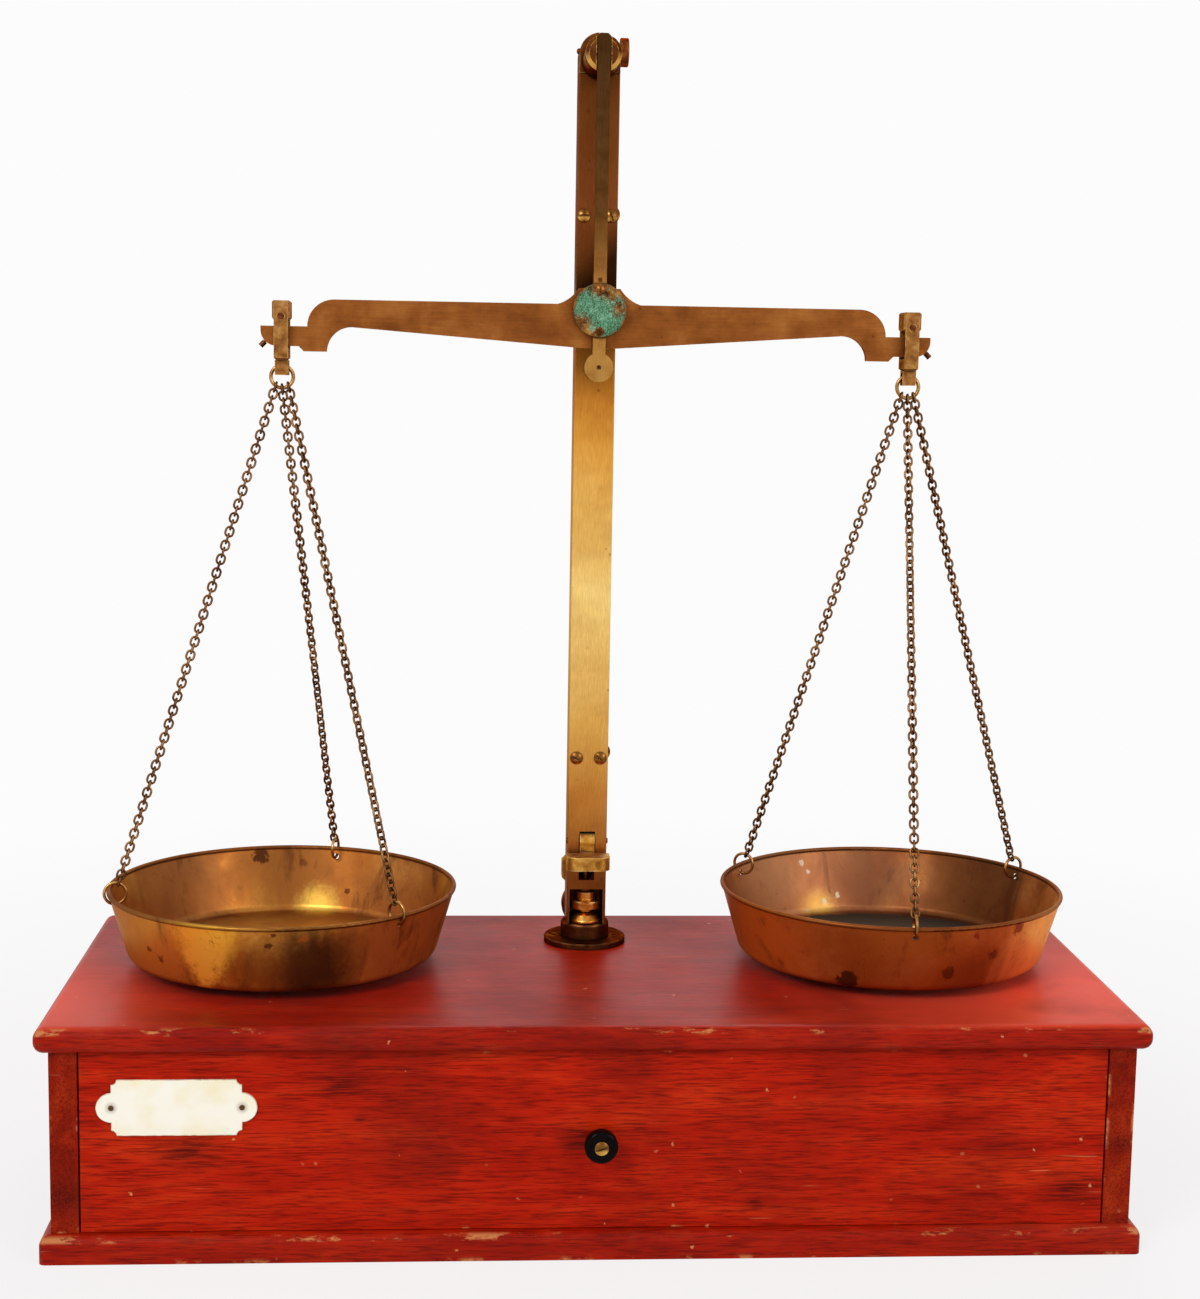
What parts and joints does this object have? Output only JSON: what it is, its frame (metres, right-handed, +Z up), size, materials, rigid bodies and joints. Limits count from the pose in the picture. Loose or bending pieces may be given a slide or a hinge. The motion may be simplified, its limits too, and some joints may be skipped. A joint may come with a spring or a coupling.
{
  "type": "hand balance on a drawer box",
  "caption": "Equal-arm dispensing balance: beam and two chained pans hang from a lifting rod in a square brass column on a wooden drawer box.",
  "frame": {"origin": "centre of the box's underside", "axes": "+X to the right along the beam, +Y to the back, +Z up the column"},
  "size_m": [0.508, 0.2097, 0.567],
  "materials": {
    "red_wood": "red-stained, worn shellac",
    "pale_wood": "bare",
    "brass": "aged lacquer",
    "pan_brass": "tarnished",
    "steel": "ground",
    "black_knob": "glossy ebonite",
    "ivory_plate": "celluloid, bare"
  },
  "bodies": {
    "case": {"base_board": "red_wood", "top_board": "red_wood", "left_side_panel": "red_wood", "right_side_panel": "red_wood", "back_panel": "red_wood", "column_flange": "brass", "flange_screws": "brass", "column_tube": "brass", "lower_guide_block": "brass", "upper_guide_block": "brass", "guide_screws": "brass", "lever_pin": "brass", "stop_foot": "brass"},
    "drawer": {"drawer_front": "red_wood", "left_drawer_side": "pale_wood", "right_drawer_side": "pale_wood", "drawer_back": "pale_wood", "drawer_bottom": "pale_wood", "drawer_knob": "black_knob", "drawer_knob_screw": "brass", "name_plate": "ivory_plate", "name_plate_pins": "brass"},
    "stop_nut": {"stop_nut": "brass"},
    "rear_clamp": {"rear_clamp_knob": "brass"},
    "lever": {"lever": "brass", "lever_tail": "brass"},
    "lift": {"lift_rod": "brass", "lift_head": "brass", "head_nose": "brass", "strap_pin": "brass", "hanger_strap": "brass", "rear_shackle_plate": "brass", "shackle_spacers": "brass", "shackle_screws": "brass", "front_bearing": "steel", "rear_bearing": "steel", "bearing_cover": "brass", "cover_screws": "brass"},
    "head_clamp": {"head_clamp_knob": "brass"},
    "beam": {"beam": "brass", "centre_knife": "steel", "left_end_knife": "steel", "right_end_knife": "steel", "tip_screws": "brass"},
    "left_stirrup": {"left_stirrup": "brass", "left_bearing_pin": "steel"},
    "right_stirrup": {"right_stirrup": "brass", "right_bearing_pin": "steel"},
    "left_pan": {"left_pan": "pan_brass", "left_big_ring": "brass", "left_pan_rings": "brass", "left_chain_1": "brass", "left_chain_2": "brass", "left_chain_3": "brass"},
    "right_pan": {"right_pan": "pan_brass", "right_big_ring": "brass", "right_pan_rings": "brass", "right_chain_1": "brass", "right_chain_2": "brass", "right_chain_3": "brass"}
  },
  "joints": [
    {"name": "drawer_slide", "type": "slide", "parent": "case", "child": "drawer", "axis": [0, -1, 0], "range_m": [0, 0.14]},
    {"name": "lift_slide", "type": "slide", "parent": "case", "child": "lift", "axis": [0, 0, 1], "range_m": [0, 0.003]},
    {"name": "lever_hinge", "type": "hinge", "parent": "case", "child": "lever", "pos_m": [0, 0.04, 0.1645], "axis": [1, 0, 0], "range_deg": [0, 19]},
    {"name": "stop_nut_spin", "type": "hinge", "parent": "case", "child": "stop_nut", "pos_m": [0, 0.0437, 0.1287], "axis": [0, 0, 1], "continuous": true},
    {"name": "rear_clamp_spin", "type": "hinge", "parent": "case", "child": "rear_clamp", "pos_m": [0, 0.058, 0.125], "axis": [0, 1, 0], "continuous": true},
    {"name": "head_clamp_spin", "type": "hinge", "parent": "lift", "child": "head_clamp", "pos_m": [0, 0.048, 0.5592], "axis": [1, 0, 0], "continuous": true},
    {"name": "beam_swing", "type": "hinge", "parent": "lift", "child": "beam", "pos_m": [0, 0.01315, 0.4261], "axis": [0, 1, 0], "range_deg": [-1.1, 1.1]},
    {"name": "left_stirrup_swing", "type": "hinge", "parent": "beam", "child": "left_stirrup", "pos_m": [-0.1524, 0.01315, 0.4251], "axis": [0, 1, 0], "range_deg": [-1.1, 1.1]},
    {"name": "left_pan_swing", "type": "hinge", "parent": "left_stirrup", "child": "left_pan", "pos_m": [-0.1524, 0.01315, 0.40175], "axis": [1, 0, 0], "range_deg": [-0.95, 0.95]},
    {"name": "right_stirrup_swing", "type": "hinge", "parent": "beam", "child": "right_stirrup", "pos_m": [0.1524, 0.01315, 0.4251], "axis": [0, 1, 0], "range_deg": [-1.1, 1.1]},
    {"name": "right_pan_swing", "type": "hinge", "parent": "right_stirrup", "child": "right_pan", "pos_m": [0.1524, 0.01315, 0.40175], "axis": [1, 0, 0], "range_deg": [-0.95, 0.95]}
  ],
  "couplings": [
    {"joint": "lever_hinge", "follows": "lift_slide", "rad_per_m": 110.54},
    {"joint": "left_stirrup_swing", "follows": "beam_swing", "ratio": -1},
    {"joint": "right_stirrup_swing", "follows": "beam_swing", "ratio": -1}
  ]
}
